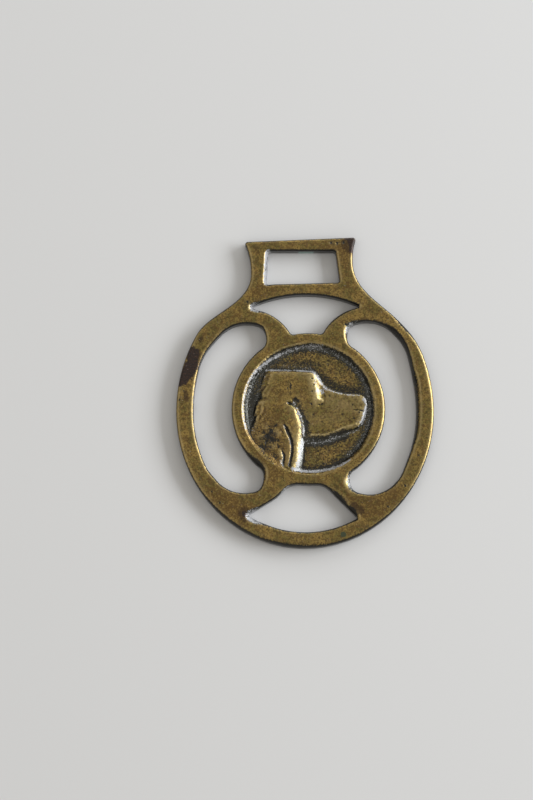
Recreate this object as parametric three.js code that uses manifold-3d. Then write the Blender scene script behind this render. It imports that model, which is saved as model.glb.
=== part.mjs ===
// A cast horse brass: a pierced ring with a strap hanger above it, and a dog's head in relief on
// a sunk medallion. It is one piece of brass, lying on its flat back.
//
// Millimetres. +X is right, +Y is up the brass towards the hanger, +Z is out of its face. The
// origin is in the middle of the outline, on the back.

import * as THREE from 'three';
import { mergeVertices } from 'three/addons/utils/BufferGeometryUtils.js';
import Module from 'manifold-3d';

const wasm = await Module();
wasm.setup();

// Plate
const THICKNESS = 3.2;
const EDGE_ROUNDING = 0.65;

// Ring: an upper and a lower half ellipse about one middle. Its band thins towards the crown,
// where the inner ellipse would almost reach the outer one.
const RING_WIDTH = 72.1;
const RING_RISE = 40.4;
const RING_DROP = 38.5;
const RING_BAND = 4.9;
const RING_FOOT_BAND = 4.5;
const RING_CROWN_BAND = 0.9;

// Medallion: a rim round a sunk field, a little off the middle of the ring
const MEDALLION_DIAMETER = 43.0;
const MEDALLION_SHIFT = { x: 0.95, y: 0.55 };
const RIM_WIDTH = 2.7;
const RECESS_DEPTH = 1.5;
const RECESS_DRAFT = 1.1;
const RELIEF_HEIGHT = 1.3;

// Scrolls: circles in the four rounded ends of the side openings, which the spokes curl round.
// Each has its direction from the medallion and the room that it leaves to the ring.
const SCROLLS = {
  topRight: { angle: 41.5, room: 0.7 },
  topLeft: { angle: 140.8, room: 2.1 },
  footLeft: { angle: 216.9, room: 0.6 },
  footRight: { angle: 319.2, room: 0 },
};
const SCROLL_STANDOFF = 0.8;
const SCROLL_SWEEP = 72;
const ROOT_SWEEP = 15;
const ROOT_REACH = { start: 0.3, end: 0.3 };
const SPOKE_WIDTH = 4.3;
const CORNER_TRIM = 0.9;
const TIP_TRIM = 0.6;

// Openings: where the side openings leave the ring, and the tips of the other two
const SIDE_RING_ANGLES = { right: [-25, 15], left: [165, 206] };
const CRESCENT_HEIGHT = 10.9;
const CRESCENT_TIP_ANGLE = 56;
const CRESCENT_TIP_LIFT = 0.4;
const FOOT_TIP_ANGLES = [239.4, 297.8];

// Hanger and its strap slot, cast slightly out of square
const HANGER_SHIFT = -0.76;
const BRIDGE_WIDTH = 3.35;
const SLOT_WIDTH = 19.0;
const SLOT_HEIGHT = 9.3;
const SLOT_SPLAY = { left: 0.5, right: 1.15 };
const SLOT_LEAN = 1.4;
const SLOT_CORNER = 0.8;
const HANGER_SIDE = 4.95;
const HANGER_TOP = 3.45;
const HANGER_LEAN = 2.4;
const HANGER_FLARE = { left: 2.0, right: 1.1 };
const HANGER_CORNER = 1.1;
const WAIST_SHARE = { left: 0.29, right: 0.58 };
const NECK_ANGLES = { left: 148, right: 20 };
const NECK_REACH = { left: { ring: 0.32, waist: 0.4 }, right: { ring: 0.46, waist: 0.36 } };

// Relief: outlines and creases as shares of the recess radius from the medallion's middle, and
// heights as shares of the relief height
const HEAD_OUTLINE = [
  [-0.67, 0.55], [-0.62, 0.575], [-0.27, 0.58], [0.03, 0.575], [0.09, 0.54], [0.155, 0.425],
  [0.22, 0.335], [0.395, 0.263], [0.54, 0.23], [0.755, 0.223], [0.845, 0.175], [0.867, 0.093],
  [0.84, -0.027], [0.803, -0.133], [0.755, -0.26], [0.68, -0.29], [0.435, -0.327],
  [0.17, -0.405], [-0.065, -0.44], [-0.32, -0.43], [-0.745, -0.21], [-0.81, 0.055], [-0.72, 0.345],
];
const EAR_FRONT = [
  [-0.277, 0.17], [-0.223, 0.106], [-0.155, -0.027], [-0.09, -0.16], [-0.064, -0.335],
  [-0.112, -0.49], [-0.16, -0.61], [-0.2, -0.895], [-0.22, -1.08],
];
const EAR_AND_NECK_OUTLINE = [
  ...EAR_FRONT,
  [-0.64, -0.98], [-0.98, -0.53], [-0.97, -0.32], [-0.86, -0.19], [-0.83, 0.05], [-0.64, 0.27],
  [-0.43, 0.27],
];
const CREASES = {
  earFold: {
    path: [[-0.364, -0.222], [-0.305, -0.357], [-0.26, -0.48], [-0.245, -0.626], [-0.277, -0.805]],
    width: 0.035,
    depth: 0.42,
  },
  neckFold: { path: [[-0.38, -0.6], [-0.35, -0.7], [-0.38, -0.85]], width: 0.035, depth: 0.3 },
  temple: { path: [[-0.274, 0.364], [-0.274, 0.153]], width: 0.022, depth: 0.14 },
  earRoot: { path: [[-0.304, 0.078], [-0.185, 0.123]], width: 0.04, depth: 0.3 },
  mouth: { path: [[0.66, -0.042], [0.81, -0.027]], width: 0.02, depth: 0.14 },
};
const PITS = [[-0.616, -0.327], [-0.571, -0.477], [-0.675, -0.551], [-0.76, -0.03], [-0.8, 0.1]];
const PIT_WIDTH = 0.05;
const HEIGHTS = {
  muzzle: 0.68,
  skull: 0.32,
  ear: 0.8,
  earEdge: 0.2,
  hollow: 0.2,
  fur: 0.1,
  pit: 0.28,
};

// Slopes of the relief, in the same shares: how wide each form's own edge is, and between which
// places the skull gives way to the muzzle and to the cheek, and the smooth ear to the fur
const HEAD_SLOPE = 0.085;
const EAR_SLOPE = 0.075;
const HOLLOW_WIDTH = 0.09;
const EAR_EDGE_WIDTH = 0.14;
const BROW = { from: 0.05, to: 0.17 };
const CHEEK = { from: -0.3, to: 0.3 };
const FUR_BELOW = { from: 0.15, to: 0.35 };
const FUR_BEHIND = { from: 0.35, to: 0.45 };
const CURLS = { first: { x: 21, y: 7 }, second: { x: -5, y: 19 } };

// How finely the relief is divided, and the share of a division that a point may move to reach
// the edge of a form
const RELIEF_RINGS = 28;
const SNAP_SHARE = 0.45;
const OUTLINE_STEPS = 6;
const RECESS_FACETS = 120;

// How far a smooth join keeps to each side's direction, as a share of the gap
const JOIN_REACH = { start: 0.4, end: 0.4 };

// Facets
const POINT_SPACING = 1.7;
const TURN_PER_POINT = 22;
const REACH_STEPS = 720;
const FLARE_STEPS = [0, 0.3, 0.6, 0.8, 1];

const { degToRad, radToDeg, lerp, clamp } = THREE.MathUtils;
const point = (x, y) => new THREE.Vector2(x, y);
const angleOf = (vector) => radToDeg(vector.angle());

// The point at a distance and an angle in degrees from a centre
function polar(centre, radius, angle) {
  const turn = degToRad(angle);
  return point(centre.x + radius * Math.cos(turn), centre.y + radius * Math.sin(turn));
}

// Points along a curve that is given as a function of an angle
function sweep(at, from, to) {
  const middle = at((from + to) / 2);
  const length = at(from).distanceTo(middle) + at(to).distanceTo(middle);
  const count = Math.max(2, Math.ceil(length / POINT_SPACING));
  return Array.from({ length: count + 1 }, (_, i) => at(lerp(from, to, i / count)));
}

const arc = (centre, radius, from, to) => sweep((angle) => polar(centre, radius, angle), from, to);

// The same angle as `to`, reached from `from` by turning clockwise or anticlockwise
const clockwise = (from, to) => from - ((((from - to) % 360) + 360) % 360);
const anticlockwise = (from, to) => from + ((((to - from) % 360) + 360) % 360);

// The arc through three points
function arcThrough(start, middle, end) {
  const across = end.clone().sub(start);
  const chord = across.length();
  const rise = Math.abs(across.cross(middle.clone().sub(start))) / chord;
  const radius = (chord ** 2 / 4 + rise ** 2) / (2 * rise);
  const inward = start.clone().add(end).multiplyScalar(0.5).sub(middle).normalize();
  const centre = middle.clone().addScaledVector(inward, radius);
  const from = angleOf(start.clone().sub(centre));
  return arc(centre, radius, from, anticlockwise(from, angleOf(end.clone().sub(centre))));
}

// Takes a length off the end of a run of points
function trimEnd(run, length) {
  const kept = [...run];
  let left = length;
  while (kept.length > 2 && kept.at(-1).distanceTo(kept.at(-2)) <= left) {
    left -= kept.at(-1).distanceTo(kept.at(-2));
    kept.pop();
  }
  const last = kept.pop();
  const share = Math.max(0.1, 1 - left / last.distanceTo(kept.at(-1)));
  return [...kept, kept.at(-1).clone().lerp(last, share)];
}

const trim = (run, start, end) => trimEnd(trimEnd(run, end).reverse(), start).reverse();

// A smooth curve from the end of one run of points to the start of the next
function join(before, after, reach = JOIN_REACH) {
  const start = before.at(-1);
  const end = after[0];
  const chord = start.distanceTo(end);
  const leaving = start.clone().sub(before.at(-2)).normalize();
  const arriving = after[1].clone().sub(end).normalize();
  const curve = new THREE.CubicBezierCurve(
    start,
    start.clone().addScaledVector(leaving, chord * reach.start),
    end.clone().addScaledVector(arriving, -chord * reach.end),
    end,
  );
  const turn = radToDeg(Math.acos(clamp(leaving.dot(arriving), -1, 1)));
  const count = Math.ceil(Math.max(2, curve.getLength() / POINT_SPACING, turn / TURN_PER_POINT));
  return curve.getPoints(count).slice(1, -1);
}

// A closed outline from runs of points, with a join over each gap between them
function closeRuns(runs, reaches = []) {
  return runs.flatMap((run, i) => [...run, ...join(run, runs[(i + 1) % runs.length], reaches[i])]);
}

// Ring and medallion
const medallion = point(MEDALLION_SHIFT.x, MEDALLION_SHIFT.y);
const medallionRadius = MEDALLION_DIAMETER / 2;
const recessRadius = medallionRadius - RIM_WIDTH;

const ringOutside = (angle) => ringPoint(angle, RING_WIDTH / 2, RING_RISE, RING_DROP);
const ringInside = (angle) => ringPoint(
  angle,
  RING_WIDTH / 2 - RING_BAND,
  RING_RISE - RING_CROWN_BAND,
  RING_DROP - RING_FOOT_BAND,
);

function ringPoint(angle, halfWidth, rise, drop) {
  const turn = degToRad(angle);
  return point(halfWidth * Math.cos(turn), (Math.sin(turn) > 0 ? rise : drop) * Math.sin(turn));
}

// How far the inside of the ring is from the medallion's middle, along a direction in degrees
function ringReach(angle) {
  const turns = Array.from({ length: REACH_STEPS }, (_, i) => (360 * i) / REACH_STEPS);
  const steps = turns.map((turn) => ringInside(turn).sub(medallion));
  const heading = polar(point(0, 0), 1, angle);
  const nearest = steps.reduce((best, step) => (
    step.clone().normalize().dot(heading) > best.clone().normalize().dot(heading) ? step : best
  ));
  return nearest.length();
}

// Each scroll's circle, and the circle of its spoke's far edge, which meets the medallion at
// `span` degrees from the scroll's own direction
function makeScroll({ angle, room }) {
  const distance = medallionRadius + SCROLL_STANDOFF;
  const radius = ringReach(angle) - distance - room;
  const spokeRadius = radius + SPOKE_WIDTH;
  const squares = medallionRadius ** 2 + distance ** 2 - spokeRadius ** 2;
  const span = radToDeg(Math.acos(squares / (2 * medallionRadius * distance)));
  return { angle, radius, spokeRadius, centre: polar(medallion, distance, angle), span };
}

const scrolls = Object.fromEntries(
  Object.entries(SCROLLS).map(([name, values]) => [name, makeScroll(values)]),
);

// A side opening, anticlockwise: up the ring, round one end, back along the medallion and round
// the other end
function sideOpening(ringAngles, firstEnd, secondEnd) {
  const root = firstEnd.angle + ROOT_SWEEP;
  return closeRuns([
    sweep(ringInside, ...ringAngles),
    arc(firstEnd.centre, firstEnd.radius, firstEnd.angle, firstEnd.angle + SCROLL_SWEEP),
    arc(medallion, medallionRadius, root, clockwise(root, secondEnd.angle - ROOT_SWEEP)),
    arc(secondEnd.centre, secondEnd.radius, secondEnd.angle - SCROLL_SWEEP, secondEnd.angle),
  ], [undefined, ROOT_REACH, ROOT_REACH, undefined]);
}

// A spoke's far edge, from the tip of an opening to the medallion: straight from the tip until
// it touches the scroll's outer circle, then round that, or straight all the way where it meets
// the medallion first. `hand` is 1 for an anticlockwise turn.
function spokeEdge(tip, scroll, hand) {
  const away = tip.clone().sub(scroll.centre);
  const slack = radToDeg(Math.acos(Math.min(1, scroll.spokeRadius / away.length())));
  const touching = angleOf(away) + hand * slack;
  const foot = polar(medallion, medallionRadius, scroll.angle + hand * scroll.span);
  const turn = hand > 0 ? anticlockwise : clockwise;
  const meeting = turn(touching, angleOf(foot.clone().sub(scroll.centre)));
  const meetsFirst = Math.abs(meeting - touching) > 180;
  const curved = meetsFirst ? [foot] : arc(scroll.centre, scroll.spokeRadius, touching, meeting);
  return [tip, ...curved];
}

// An opening with two tips, anticlockwise: its outer edge, then down one spoke, back along the
// medallion and up the other spoke
function tippedOpening(outerEdge, firstScroll, secondScroll) {
  const root = firstScroll.angle - firstScroll.span;
  return closeRuns([
    trim(outerEdge, TIP_TRIM, TIP_TRIM),
    trim(spokeEdge(outerEdge.at(-1), firstScroll, -1), TIP_TRIM, CORNER_TRIM),
    trim(
      arc(medallion, medallionRadius, root, clockwise(root, secondScroll.angle + secondScroll.span)),
      CORNER_TRIM,
      CORNER_TRIM,
    ),
    trim(spokeEdge(outerEdge[0], secondScroll, 1).reverse(), CORNER_TRIM, TIP_TRIM),
  ]);
}

const crescentTop = medallion.y + medallionRadius + CRESCENT_HEIGHT;

function crescentOpening() {
  const { topRight, topLeft } = scrolls;
  const tip = ({ centre, spokeRadius, angle }, hand) => (
    polar(centre, spokeRadius + CRESCENT_TIP_LIFT, angle + hand * CRESCENT_TIP_ANGLE)
  );
  const rightTip = tip(topRight, 1);
  const leftTip = tip(topLeft, -1);
  const top = point((rightTip.x + leftTip.x) / 2, crescentTop);
  return tippedOpening(arcThrough(rightTip, top, leftTip), topLeft, topRight);
}

// Hanger
const slotFloor = crescentTop + BRIDGE_WIDTH;
const slotTop = slotFloor + SLOT_HEIGHT;
const hangerTop = slotTop + HANGER_TOP;
const leaning = (height, lean, x) => height + Math.tan(degToRad(lean)) * (x - HANGER_SHIFT);

function slotOpening() {
  const left = HANGER_SHIFT - SLOT_WIDTH / 2;
  const right = HANGER_SHIFT + SLOT_WIDTH / 2;
  const floorPoint = (x) => point(x, leaning(slotFloor, SLOT_LEAN, x));
  const corners = [
    floorPoint(left - SLOT_SPLAY.left),
    floorPoint(right + SLOT_SPLAY.right),
    point(right, slotTop),
    point(left, slotTop),
  ];
  return closeRuns(corners.map((corner, i) => (
    trim([corner, corners[(i + 1) % corners.length]], SLOT_CORNER, SLOT_CORNER)
  )));
}

// One edge of the hanger, from its waist up to its flared top corner
function hangerEdge(hand, flare, waistShare) {
  const waist = HANGER_SHIFT + hand * (SLOT_WIDTH / 2 + HANGER_SIDE);
  const corner = waist + hand * flare;
  const from = lerp(slotFloor, hangerTop, waistShare);
  const to = leaning(hangerTop, HANGER_LEAN, corner);
  return FLARE_STEPS.map((step) => (
    point(waist + hand * flare * step ** 2, lerp(from, to, step))
  ));
}

function outerOutline() {
  const right = hangerEdge(1, HANGER_FLARE.right, WAIST_SHARE.right);
  const left = hangerEdge(-1, HANGER_FLARE.left, WAIST_SHARE.left).reverse();
  const upNeck = { start: NECK_REACH.right.ring, end: NECK_REACH.right.waist };
  const downNeck = { start: NECK_REACH.left.waist, end: NECK_REACH.left.ring };
  return closeRuns([
    sweep(ringOutside, NECK_ANGLES.left, 360 + NECK_ANGLES.right),
    trim(right, 0, HANGER_CORNER),
    trim([right.at(-1), left[0]], HANGER_CORNER, HANGER_CORNER),
    trim(left, HANGER_CORNER, 0),
  ], [upNeck, undefined, undefined, downNeck]);
}

const outline = new THREE.Shape(outerOutline());
const openings = [
  slotOpening(),
  crescentOpening(),
  tippedOpening(sweep(ringInside, ...FOOT_TIP_ANGLES), scrolls.footRight, scrolls.footLeft),
  sideOpening(SIDE_RING_ANGLES.right, scrolls.topRight, scrolls.footRight),
  sideOpening(SIDE_RING_ANGLES.left, scrolls.footLeft, scrolls.topLeft),
];
outline.holes = openings.map((points) => new THREE.Path(points));

// Relief. Every form works on a point's place in shares of the recess radius.

function makeOutline(values) {
  const corners = values.map(([x, y]) => new THREE.Vector3(x, y, 0));
  const curve = new THREE.CatmullRomCurve3(corners, true, 'centripetal');
  const places = curve.getPoints(values.length * OUTLINE_STEPS).slice(1);
  return places.map(({ x, y }) => point(x, y));
}

function nearestOnSegment(place, start, end) {
  const along = end.clone().sub(start);
  const share = clamp(place.clone().sub(start).dot(along) / along.lengthSq(), 0, 1);
  return start.clone().addScaledVector(along, share);
}

function nearestOnPath(place, path) {
  const nearest = path.slice(1).map((end, i) => nearestOnSegment(place, path[i], end));
  return nearest.reduce((best, other) => (
    place.distanceTo(other) < place.distanceTo(best) ? other : best
  ));
}

const distanceToPath = (place, path) => place.distanceTo(nearestOnPath(place, path));
const closed = (loop) => [...loop, loop[0]];

function isInside(place, loop) {
  return loop.reduce((inside, from, i) => {
    const to = loop[(i + 1) % loop.length];
    const crosses = from.y > place.y !== to.y > place.y;
    const x = from.x + (to.x - from.x) * ((place.y - from.y) / (to.y - from.y));
    return crosses && place.x < x ? !inside : inside;
  }, false);
}

// 0 on an outline and 1 from a width inside it, with an eased slope between them
function pillow(place, loop, width) {
  return isInside(place, loop) ? ramp(distanceToPath(place, closed(loop)), 0, width) : 0;
}

const toPath = (values) => values.map(([x, y]) => point(x, y));
const headLoop = makeOutline(HEAD_OUTLINE);
const neckLoop = makeOutline(EAR_AND_NECK_OUTLINE);
const earFront = toPath(EAR_FRONT);
const creases = Object.values(CREASES).map(({ path, ...shape }) => (
  { path: toPath(path), ...shape }
));
const pits = toPath(PITS);
const ramp = (value, low, high) => THREE.MathUtils.smoothstep(value, low, high);
const rampAlong = (value, { from, to }) => ramp(value, from, to);
const bell = (distance, width) => Math.exp(-((distance / width) ** 2));
const wave = (place, { x, y }) => Math.sin(place.x * x + place.y * y);

// The skull stands above the muzzle, with the brow and the eye socket between them, and the
// cheek is hollow in front of the ear
function headHeight(place) {
  const skull = HEIGHTS.skull * (1 - rampAlong(place.x, BROW)) * rampAlong(place.y, CHEEK);
  const hollow = HEIGHTS.hollow * bell(distanceToPath(place, earFront), HOLLOW_WIDTH);
  return pillow(place, headLoop, HEAD_SLOPE) * (HEIGHTS.muzzle + skull - hollow);
}

// The ear hangs from the skull and runs on into the neck, which is curly behind its front edge
function neckHeight(place) {
  const edge = HEIGHTS.earEdge * bell(distanceToPath(place, earFront), EAR_EDGE_WIDTH);
  const curls = wave(place, CURLS.first) * wave(place, CURLS.second);
  const furry = rampAlong(-place.y, FUR_BELOW) * rampAlong(-place.x, FUR_BEHIND);
  const height = HEIGHTS.ear + edge + HEIGHTS.fur * curls * furry;
  return pillow(place, neckLoop, EAR_SLOPE) * height;
}

function reliefHeight(place) {
  const form = Math.max(headHeight(place), neckHeight(place));
  const cut = creases.reduce((sum, { path, width, depth }) => (
    sum + depth * bell(distanceToPath(place, path), width)
  ), 0);
  const pitted = pits.reduce((sum, pit) => sum + bell(place.distanceTo(pit), PIT_WIDTH), 0);
  return Math.max(0, form - cut - HEIGHTS.pit * pitted);
}

// Moves a point that is close to the edge of a form onto that edge, to keep its outline clean
function snapToEdge(place, reach) {
  const edges = [neckLoop, headLoop].map((loop) => nearestOnPath(place, closed(loop)));
  return edges.find((edge) => place.distanceTo(edge) < reach) ?? place;
}

// A closed disc whose top carries the relief, in rings of six more points each
function reliefDisc(radius, bottom, floor) {
  const positions = [0, 0, floor + RELIEF_HEIGHT * reliefHeight(point(0, 0))];
  const ringStart = (ring) => 1 + 3 * ring * (ring - 1);
  const cell = radius / recessRadius / RELIEF_RINGS;
  for (let ring = 1; ring <= RELIEF_RINGS; ring += 1) {
    for (let i = 0; i < 6 * ring; i += 1) {
      const even = polar(point(0, 0), cell * ring, (60 * i) / ring);
      const place = ring < RELIEF_RINGS ? snapToEdge(even, SNAP_SHARE * cell) : even;
      const height = RELIEF_HEIGHT * reliefHeight(place);
      positions.push(place.x * recessRadius, place.y * recessRadius, floor + height);
    }
  }
  const triangles = [];
  const at = (ring, i) => (ring === 0 ? 0 : ringStart(ring) + (i % (6 * ring)));
  for (let ring = 1; ring <= RELIEF_RINGS; ring += 1) {
    for (let side = 0; side < 6; side += 1) {
      for (let step = 0; step < ring; step += 1) {
        const outer = side * ring + step;
        const inner = side * (ring - 1) + step;
        const shared = [at(ring - 1, inner), at(ring, outer + 1)];
        triangles.push(shared[0], at(ring, outer), shared[1]);
        if (step < ring - 1) triangles.push(...shared, at(ring - 1, inner + 1));
      }
    }
  }
  const rim = 6 * RELIEF_RINGS;
  const top = ringStart(RELIEF_RINGS);
  const under = positions.length / 3;
  for (let i = 0; i < rim; i += 1) {
    positions.push(...positions.slice(3 * (top + i), 3 * (top + i) + 2), bottom);
  }
  positions.push(0, 0, bottom);
  for (let i = 0; i < rim; i += 1) {
    const next = (i + 1) % rim;
    triangles.push(top + i, under + i, under + next, top + i, under + next, top + next);
    triangles.push(under + rim, under + next, under + i);
  }
  const disc = new THREE.BufferGeometry();
  disc.setAttribute('position', new THREE.Float32BufferAttribute(positions, 3));
  disc.setIndex(triangles);
  return disc;
}

// The plate, with only the edges of its face rounded, still thicker at the back by a spare mm
const SPARE = 1;
const plate = new THREE.ExtrudeGeometry(outline, {
  depth: THICKNESS - EDGE_ROUNDING + SPARE,
  bevelThickness: EDGE_ROUNDING,
  bevelSize: EDGE_ROUNDING,
  bevelOffset: -EDGE_ROUNDING,
  bevelSegments: 2,
});
plate.translate(0, 0, -SPARE);

// The recess, as a tool with drafted sides
const floor = THICKNESS - RECESS_DEPTH;
const toolEnd = floor * 0.7;
const discEnd = floor * 0.4;
const slope = RECESS_DRAFT / RECESS_DEPTH;
const recessTool = new THREE.LatheGeometry([
  point(0, toolEnd),
  point(recessRadius - slope * (THICKNESS - toolEnd), toolEnd),
  point(recessRadius + slope * SPARE, THICKNESS + SPARE),
  point(0, THICKNESS + SPARE),
], RECESS_FACETS);
recessTool.rotateX(Math.PI / 2);
recessTool.translate(medallion.x, medallion.y, 0);

const relief = reliefDisc(recessRadius + EDGE_ROUNDING / 2, discEnd, floor);
relief.translate(medallion.x, medallion.y, 0);

const backTrim = new THREE.BoxGeometry(4 * RING_WIDTH, 4 * RING_WIDTH, 4 * SPARE);
backTrim.translate(0, 0, -2 * SPARE);

function toSolid(geometry) {
  geometry.deleteAttribute('normal');
  geometry.deleteAttribute('uv');
  const merged = mergeVertices(geometry, 1e-4);
  return new wasm.Manifold(new wasm.Mesh({
    numProp: 3,
    vertProperties: new Float32Array(merged.attributes.position.array),
    triVerts: new Uint32Array(merged.index.array),
  }));
}

function toGeometry(solid) {
  const { vertProperties, triVerts } = solid.getMesh();
  const geometry = new THREE.BufferGeometry();
  geometry.setAttribute('position', new THREE.BufferAttribute(vertProperties, 3));
  geometry.setIndex(new THREE.BufferAttribute(triVerts, 1));
  return geometry;
}

const casting = toGeometry(
  toSolid(plate).subtract(toSolid(recessTool)).add(toSolid(relief)).subtract(toSolid(backTrim)),
);
casting.computeBoundingBox();
const middle = casting.boundingBox.getCenter(new THREE.Vector3());
casting.translate(-middle.x, -middle.y, 0);
casting.computeVertexNormals();

const agedBrass = new THREE.MeshStandardMaterial({ color: 0x8a6f3c, roughness: 0.42, metalness: 1 });
const horseBrass = new THREE.Mesh(casting, agedBrass);
horseBrass.name = 'horse_brass';

const group = new THREE.Group();
group.add(horseBrass);

export default group;
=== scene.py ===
# A cast horse brass lying face up on a pale floor: a pierced ring with a strap hanger, and a
# dog's head in relief on a sunk medallion. The fine casting replaces the plain solid and takes
# its outline from it.

import math

import bpy
import numpy as np
from mathutils import Euler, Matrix, Vector, geometry, kdtree, noise


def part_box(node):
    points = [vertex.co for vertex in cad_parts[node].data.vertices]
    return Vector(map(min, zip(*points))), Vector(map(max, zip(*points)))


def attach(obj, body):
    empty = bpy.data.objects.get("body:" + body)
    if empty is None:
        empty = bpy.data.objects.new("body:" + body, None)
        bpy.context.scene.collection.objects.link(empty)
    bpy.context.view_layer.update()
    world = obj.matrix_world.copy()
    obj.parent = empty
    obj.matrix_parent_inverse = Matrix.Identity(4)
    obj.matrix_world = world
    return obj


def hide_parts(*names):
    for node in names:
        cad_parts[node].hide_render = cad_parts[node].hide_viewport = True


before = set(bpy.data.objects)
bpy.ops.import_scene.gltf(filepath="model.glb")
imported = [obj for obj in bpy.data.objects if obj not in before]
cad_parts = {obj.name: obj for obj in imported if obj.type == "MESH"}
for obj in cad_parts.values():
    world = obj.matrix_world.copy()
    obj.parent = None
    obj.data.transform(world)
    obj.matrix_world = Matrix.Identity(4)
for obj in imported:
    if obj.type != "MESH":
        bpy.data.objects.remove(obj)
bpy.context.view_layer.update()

# Lengths below are millimetres in the part's own frame, unless they say otherwise
MM = 0.001
NODE = "horse_brass"
THICKNESS = (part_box(NODE)[1].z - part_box(NODE)[0].z) / MM

# Outline: spacing of its points, and the length from which an edge of the solid is straight
EDGE_SPACING = 0.4
STRAIGHT_FROM = 2.6

# The casting's softer corners, at the top of the opening at the foot. Each point there moves
# towards its neighbours, in many rounds.
ROUNDED_CORNERS = ((-4.3, -26.1), (6.0, -26.1))
CORNER_REACH = 4.0
CORNER_ROUNDS = 120

# Edges of the face: a worn slope, then a tighter rounding into the wall. Leaning edges run from
# one point to another. Then come their reach and how much wider and deeper the slope is there.
WORN_WIDTH = 0.85
WORN_DEPTH = 0.42
ROUNDING = 0.3
ROUNDING_DEPTH = 0.8
SLOPE_CURVE = 1.5
EDGE_ROWS = (0.05, 0.14, 0.28, 0.45, 0.68, 1.0)
ROW_CLEARANCE = 0.9
LEANING_EDGES = (
    ((12.1, 18.0), (12.1, 18.0), 2.9, 0.8, 0.9),
    ((11.2, -26.0), (11.2, -26.0), 2.6, 1.0, 0.9),
    ((-14.4, 23.3), (-14.4, 23.3), 2.2, 0.7, 0.9),
    ((-10.9, 39.0), (-11.4, 31.0), 1.6, 0.3, 1.2),
    ((-14.6, -35.7), (-14.6, -35.7), 2.6, 1.3, 1.0),
    ((10.4, -30.0), (10.4, -30.0), 3.2, 0.9, 0.6),
    ((13.4, -33.8), (13.4, -33.8), 2.0, 0.8, 0.6),
    ((-13.4, -21.4), (-13.4, -21.4), 3.8, 0.9, 0.9),
    ((25.6, 16.5), (29.4, 5.0), 2.6, 0.5, 1.6),
    ((28.9, 2.0), (28.2, -11.0), 3.5, 1.6, 1.9),
    ((28.0, -15.0), (22.5, -24.5), 2.2, 0.6, 1.0),
    ((-28.0, -33.5), (-13.0, -43.6), 2.4, 0.5, 0.7),
    ((-13.0, -43.6), (8.0, -45.6), 2.4, 0.6, 0.8),
    ((8.0, -45.6), (24.0, -37.5), 2.4, 0.4, 0.5),
)

# Walls: the depth of the rows of points below the face's edge and how far in they stand, the
# broken edge of the back, and the angle from which an edge is shaded as sharp
WALL_ROWS = (0.3, 1.0, 1.7)
WALL_INSET = 0.03
BACK_BREAK = 0.12
SHARP_FROM = 50.0

# Medallion. Its wall is wider in some directions: the angle, how far that spreads, and how much
# wider. The wall has two slopes: their share of the depth, and where they start and end across it.
MEDALLION = (0.95, -5.021)
RECESS_RADIUS = 18.8
RECESS_DEPTH = 1.5
RECESS_WALL = 1.5
RECESS_LIP = 0.1
WIDE_WALLS = ((165.0, 60.0, 0.5), (232.0, 18.0, 3.2))
WALL_SLOPES = ((0.4, 0.0, 0.6), (0.6, 0.35, 1.0))
WALL_WAVES = 0.14
RELIEF_HEIGHT = 1.3

# Spacing of the surface's points, and their rings round a small pit: size in radii, and count
FACE_SPACING = 0.46
RECESS_SPACING = 0.17
BACK_SPACING = 2.2
PIT_RINGS = ((0.5, 6), (1.0, 9), (1.6, 12))
PIT_CLEARANCE = 2

# Grain of the surface: the size of its features, its finer layers and its seed
WEAR_GRAIN = (9.0, 2, 3.0)
PEBBLE_GRAIN = (0.75, 3, 11.0)
WAVE_GRAIN = (2.6, 2, 17.0)
WALL_GRAIN = (1.4, 2, 29.0)
WEAR_DEPTH = 0.05
WAVE_HEIGHT = 0.03
PEBBLES = 0.03
PEBBLES_ON_FLOOR = 0.06
PEBBLES_ON_NECK = 0.05
PEBBLES_BY_WALL = 0.04

# Ranges of the relief's height, and of the distance from the wall, over which the grain changes
ON_FLOOR = (0.6, 0.1)
NEAR_WALL = (2.4, 1.0)
OFF_WALL = (0.6, 2.6)
GRAIN_STARTS = (0.1, 0.6)

# Relief. Outlines are where a form meets its ground: x, y and the width of its slope, as shares
# of the recess radius from the medallion's middle.
HEAD_OUTLINE = (
    (-0.6, 0.6, 0.12), (-0.4, 0.59, 0.055), (-0.16, 0.58, 0.05), (0.06, 0.57, 0.05),
    (0.125, 0.545, 0.05), (0.175, 0.47, 0.06), (0.215, 0.39, 0.05), (0.265, 0.335, 0.04),
    (0.35, 0.295, 0.04), (0.45, 0.26, 0.04), (0.57, 0.237, 0.035), (0.75, 0.23, 0.035),
    (0.835, 0.195, 0.035), (0.88, 0.12, 0.035), (0.888, 0.04, 0.04), (0.865, -0.03, 0.04),
    (0.845, -0.11, 0.045), (0.805, -0.205, 0.045), (0.745, -0.29, 0.045), (0.62, -0.33, 0.05),
    (0.505, -0.375, 0.07), (0.385, -0.435, 0.08), (0.23, -0.49, 0.09), (0.08, -0.5, 0.1),
    (-0.08, -0.5, 0.12), (-0.32, -0.5, 0.1), (-0.62, -0.3, 0.1), (-0.8, -0.1, 0.09),
    (-0.8, 0.06, 0.11), (-0.765, 0.2, 0.14), (-0.73, 0.35, 0.17), (-0.68, 0.51, 0.17),
)
EAR_FRONT = (
    (-0.235, 0.125, 0.025), (-0.2, 0.09, 0.04), (-0.147, -0.005, 0.08), (-0.082, -0.127, 0.14),
    (-0.048, -0.265, 0.17), (-0.05, -0.388, 0.17), (-0.066, -0.495, 0.15),
    (-0.074, -0.603, 0.14), (-0.079, -0.71, 0.15), (-0.094, -0.833, 0.16), (-0.12, -0.94, 0.16),
    (-0.14, -1.08, 0.16),
)
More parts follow.
